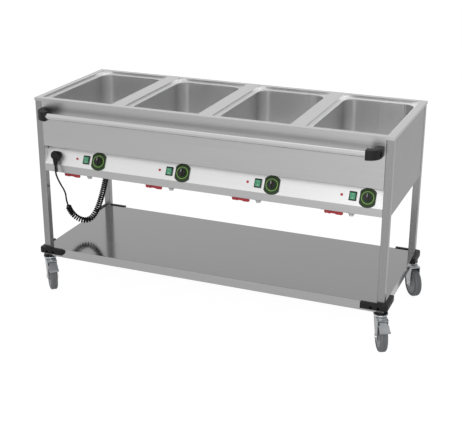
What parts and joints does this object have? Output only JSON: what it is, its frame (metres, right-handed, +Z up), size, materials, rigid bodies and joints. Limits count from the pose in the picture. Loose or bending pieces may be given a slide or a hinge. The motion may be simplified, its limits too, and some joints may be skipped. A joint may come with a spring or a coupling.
{
  "type": "mobile bain marie",
  "caption": "Wheeled stainless steel food warmer with heated water wells, sloping control panel, push bar, lower shelf and swivel casters with brakes.",
  "frame": {"origin": "on the floor, under the centre of the deck", "axes": "+X along the deck to the operator's right, +Y to the back, away from the push bar, +Z up"},
  "size_m": [1.6545, 0.7463, 0.882],
  "materials": {
    "satin_steel": "satin brushed",
    "bright_steel": "bright rolled",
    "fascia_steel": "fine satin",
    "nickel_brass": "nickel plated",
    "sheath_steel": "drawn",
    "bumper_plastic": "moulded",
    "handle_plastic": "moulded",
    "bezel_plastic": "moulded",
    "knob_plastic": "moulded",
    "switch_black": "moulded",
    "rocker_green": "translucent moulded",
    "lamp_red": "clear moulded",
    "lever_red": "dip coated",
    "case_plastic": "moulded",
    "plug_rubber": "moulded",
    "cord_rubber": "extruded",
    "zinc_steel": "zinc plated",
    "wheel_plastic": "moulded",
    "tyre_rubber": "moulded"
  },
  "bodies": {
    "cabinet": {"deck": "satin_steel", "basin_1": "bright_steel", "basin_2": "bright_steel", "basin_3": "bright_steel", "basin_4": "bright_steel", "front_apron": "satin_steel", "cabinet_skins": "satin_steel", "bottom_tray": "satin_steel", "control_panel": "fascia_steel", "legs": "satin_steel", "shelf": "satin_steel", "shelf_stiffeners": "satin_steel", "corner_bumpers": "bumper_plastic", "fixing_screws": "bright_steel", "handle_bar": "bright_steel", "handle_brackets": "handle_plastic", "heating_elements": "sheath_steel", "thermostats": "case_plastic", "knob_bezels": "bezel_plastic", "switch_frames": "switch_black", "indicator_lamps": "lamp_red", "drain_pipes": "bright_steel", "valve_bodies": "nickel_brass", "terminal_box": "case_plastic", "cable_gland": "case_plastic", "plug_holder": "case_plastic", "plug": "plug_rubber", "cord_coil": "cord_rubber", "cord_lead": "cord_rubber", "caster_stems": "zinc_steel"},
    "caster_front_left": {"caster_fork_front_left": "zinc_steel", "wheel_axle_front_left": "zinc_steel"},
    "wheel_front_left": {"wheel_centre_front_left": "wheel_plastic", "tyre_front_left": "tyre_rubber"},
    "pedal_front_left": {"brake_pedal_front_left": "zinc_steel"},
    "caster_front_right": {"caster_fork_front_right": "zinc_steel", "wheel_axle_front_right": "zinc_steel"},
    "wheel_front_right": {"wheel_centre_front_right": "wheel_plastic", "tyre_front_right": "tyre_rubber"},
    "pedal_front_right": {"brake_pedal_front_right": "zinc_steel"},
    "caster_rear_right": {"caster_fork_rear_right": "zinc_steel", "wheel_axle_rear_right": "zinc_steel"},
    "wheel_rear_right": {"wheel_centre_rear_right": "wheel_plastic", "tyre_rear_right": "tyre_rubber"},
    "caster_rear_left": {"caster_fork_rear_left": "zinc_steel", "wheel_axle_rear_left": "zinc_steel"},
    "wheel_rear_left": {"wheel_centre_rear_left": "wheel_plastic", "tyre_rear_left": "tyre_rubber"},
    "knob_1": {"thermostat_knob_1": "knob_plastic"},
    "rocker_1": {"switch_rocker_1": "rocker_green"},
    "lever_1": {"valve_lever_1": "lever_red"},
    "knob_2": {"thermostat_knob_2": "knob_plastic"},
    "rocker_2": {"switch_rocker_2": "rocker_green"},
    "lever_2": {"valve_lever_2": "lever_red"},
    "knob_3": {"thermostat_knob_3": "knob_plastic"},
    "rocker_3": {"switch_rocker_3": "rocker_green"},
    "lever_3": {"valve_lever_3": "lever_red"},
    "knob_4": {"thermostat_knob_4": "knob_plastic"},
    "rocker_4": {"switch_rocker_4": "rocker_green"},
    "lever_4": {"valve_lever_4": "lever_red"}
  },
  "joints": [
    {"name": "swivel_front_left", "type": "hinge", "parent": "cabinet", "child": "caster_front_left", "pos_m": [-0.763, -0.2775, 0.142], "axis": [0, 0, 1], "continuous": true},
    {"name": "roll_front_left", "type": "hinge", "parent": "caster_front_left", "child": "wheel_front_left", "pos_m": [-0.7405, -0.30431, 0.0625], "axis": [0.766, 0.6428, 0], "continuous": true},
    {"name": "brake_front_left", "type": "hinge", "parent": "caster_front_left", "child": "pedal_front_left", "pos_m": [-0.736, -0.30967, 0.131], "axis": [0.766, 0.6428, 0], "range_deg": [0, 6]},
    {"name": "swivel_front_right", "type": "hinge", "parent": "cabinet", "child": "caster_front_right", "pos_m": [0.763, -0.2775, 0.142], "axis": [0, 0, 1], "continuous": true},
    {"name": "roll_front_right", "type": "hinge", "parent": "caster_front_right", "child": "wheel_front_right", "pos_m": [0.77834, -0.30896, 0.0625], "axis": [0.8988, 0.4384, 0], "continuous": true},
    {"name": "brake_front_right", "type": "hinge", "parent": "caster_front_right", "child": "pedal_front_right", "pos_m": [0.78141, -0.31525, 0.131], "axis": [0.8988, 0.4384, 0], "range_deg": [0, 6]},
    {"name": "swivel_rear_right", "type": "hinge", "parent": "cabinet", "child": "caster_rear_right", "pos_m": [0.763, 0.2775, 0.142], "axis": [0, 0, 1], "continuous": true},
    {"name": "roll_rear_right", "type": "hinge", "parent": "caster_rear_right", "child": "wheel_rear_right", "pos_m": [0.78357, 0.24918, 0.0625], "axis": [0.809, 0.5878, 0], "continuous": true},
    {"name": "swivel_rear_left", "type": "hinge", "parent": "cabinet", "child": "caster_rear_left", "pos_m": [-0.763, 0.2775, 0.142], "axis": [0, 0, 1], "continuous": true},
    {"name": "roll_rear_left", "type": "hinge", "parent": "caster_rear_left", "child": "wheel_rear_left", "pos_m": [-0.78155, 0.30718, 0.0625], "axis": [-0.848, -0.5299, 0], "continuous": true},
    {"name": "knob_turn_1", "type": "hinge", "parent": "cabinet", "child": "knob_1", "pos_m": [-0.491, -0.2757, 0.62497], "axis": [0, 0.891, -0.454], "range_deg": [0, 270]},
    {"name": "switch_1", "type": "hinge", "parent": "cabinet", "child": "rocker_1", "pos_m": [-0.55, -0.2757, 0.62497], "axis": [-1, 0, 0], "range_deg": [0, 18]},
    {"name": "drain_valve_1", "type": "hinge", "parent": "cabinet", "child": "lever_1", "pos_m": [-0.643, -0.2725, 0.546], "axis": [0, 1, 0], "range_deg": [0, 90]},
    {"name": "knob_turn_2", "type": "hinge", "parent": "cabinet", "child": "knob_2", "pos_m": [-0.099, -0.2757, 0.62497], "axis": [0, 0.891, -0.454], "range_deg": [0, 270]},
    {"name": "switch_2", "type": "hinge", "parent": "cabinet", "child": "rocker_2", "pos_m": [-0.158, -0.2757, 0.62497], "axis": [-1, 0, 0], "range_deg": [0, 18]},
    {"name": "drain_valve_2", "type": "hinge", "parent": "cabinet", "child": "lever_2", "pos_m": [-0.251, -0.2725, 0.546], "axis": [0, 1, 0], "range_deg": [0, 90]},
    {"name": "knob_turn_3", "type": "hinge", "parent": "cabinet", "child": "knob_3", "pos_m": [0.293, -0.2757, 0.62497], "axis": [0, 0.891, -0.454], "range_deg": [0, 270]},
    {"name": "switch_3", "type": "hinge", "parent": "cabinet", "child": "rocker_3", "pos_m": [0.234, -0.2757, 0.62497], "axis": [-1, 0, 0], "range_deg": [0, 18]},
    {"name": "drain_valve_3", "type": "hinge", "parent": "cabinet", "child": "lever_3", "pos_m": [0.141, -0.2725, 0.546], "axis": [0, 1, 0], "range_deg": [0, 90]},
    {"name": "knob_turn_4", "type": "hinge", "parent": "cabinet", "child": "knob_4", "pos_m": [0.685, -0.2757, 0.62497], "axis": [0, 0.891, -0.454], "range_deg": [0, 270]},
    {"name": "switch_4", "type": "hinge", "parent": "cabinet", "child": "rocker_4", "pos_m": [0.626, -0.2757, 0.62497], "axis": [-1, 0, 0], "range_deg": [0, 18]},
    {"name": "drain_valve_4", "type": "hinge", "parent": "cabinet", "child": "lever_4", "pos_m": [0.533, -0.2725, 0.546], "axis": [0, 1, 0], "range_deg": [0, 90]}
  ]
}
